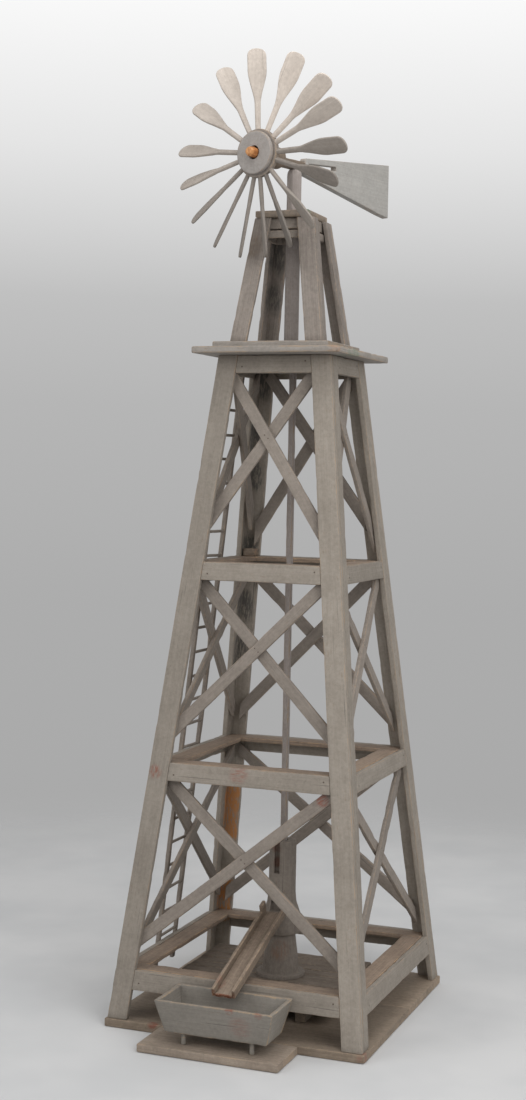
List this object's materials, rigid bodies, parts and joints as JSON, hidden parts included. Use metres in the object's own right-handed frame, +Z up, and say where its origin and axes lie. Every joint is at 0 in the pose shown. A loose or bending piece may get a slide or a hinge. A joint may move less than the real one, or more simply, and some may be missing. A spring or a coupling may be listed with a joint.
{
  "type": "garden windmill",
  "caption": "Weathered grey wooden garden windmill: braced lattice tower on a base board, walkway, turning head with bladed wheel and tail vane, and a pump, chute and trough.",
  "frame": {"origin": "on the ground under the tower's axis, at the base board's underside", "axes": "+Z up the tower, -Y towards the trough, +X to the right seen from the trough"},
  "size_m": [0.4887, 0.6387, 1.7554],
  "materials": {
    "grey_paint": "weathered grey paint on wood, worn to tan at the edges",
    "dark_paint": "thin dark grey paint on turned and planed wood",
    "worn_wood": "grey brown wood with most of its paint gone",
    "trough_paint": "bluish grey matt paint with traces of red",
    "bare_wood": "bare brown wood",
    "blade_paint": "thin beige grey paint on wood",
    "copper_wood": "orange painted wood, rubbed smooth"
  },
  "bodies": {
    "tower": {"base_board": "worn_wood", "trough_landing": "worn_wood", "well_deck": "worn_wood", "leg_front_right": "grey_paint", "leg_back_right": "grey_paint", "leg_back_left": "grey_paint", "leg_front_left": "grey_paint", "low_girt": "grey_paint", "middle_girt": "grey_paint", "high_girt": "grey_paint", "top_girt": "grey_paint", "low_braces_front": "grey_paint", "low_braces_right": "grey_paint", "low_braces_back": "grey_paint", "low_braces_left": "grey_paint", "middle_braces_front": "grey_paint", "middle_braces_right": "grey_paint", "middle_braces_back": "grey_paint", "middle_braces_left": "grey_paint", "high_braces_front": "grey_paint", "high_braces_right": "grey_paint", "high_braces_back": "grey_paint", "high_braces_left": "grey_paint", "walkway_front": "grey_paint", "walkway_right": "grey_paint", "walkway_back": "grey_paint", "walkway_left": "grey_paint", "walkway_floor": "grey_paint", "upper_leg_front_right": "grey_paint", "upper_leg_back_right": "grey_paint", "upper_leg_back_left": "grey_paint", "upper_leg_front_left": "grey_paint", "cap": "grey_paint", "ladder": "grey_paint", "pump_body": "dark_paint", "chute": "worn_wood", "trough": "trough_paint"},
    "head": {"mast": "dark_paint", "head_block": "bare_wood", "axle_pin": "copper_wood", "tail_vane": "grey_paint"},
    "wheel": {"hub_rear": "grey_paint", "hub_front": "grey_paint", "blade_01": "blade_paint", "blade_02": "blade_paint", "blade_03": "blade_paint", "blade_04": "blade_paint", "blade_05": "blade_paint", "blade_06": "blade_paint", "blade_07": "blade_paint", "blade_08": "blade_paint", "blade_09": "blade_paint", "blade_10": "blade_paint", "blade_11": "blade_paint", "blade_12": "blade_paint", "blade_13": "blade_paint", "blade_14": "blade_paint", "blade_15": "blade_paint", "blade_16": "blade_paint"},
    "pump_rod": {"pump_rod": "dark_paint"}
  },
  "joints": [
    {"name": "head_yaw", "type": "hinge", "parent": "tower", "child": "head", "pos_m": [-0.0035, 0, 1.4], "axis": [0, 0, 1], "continuous": true},
    {"name": "wheel_spin", "type": "hinge", "parent": "head", "child": "wheel", "pos_m": [-0.0035, 0, 1.5685], "axis": [-0.2957, -0.9553, 0], "continuous": true},
    {"name": "pump_rod_lift", "type": "slide", "parent": "tower", "child": "pump_rod", "axis": [0, 0, 1], "range_m": [0, 0.015]}
  ]
}
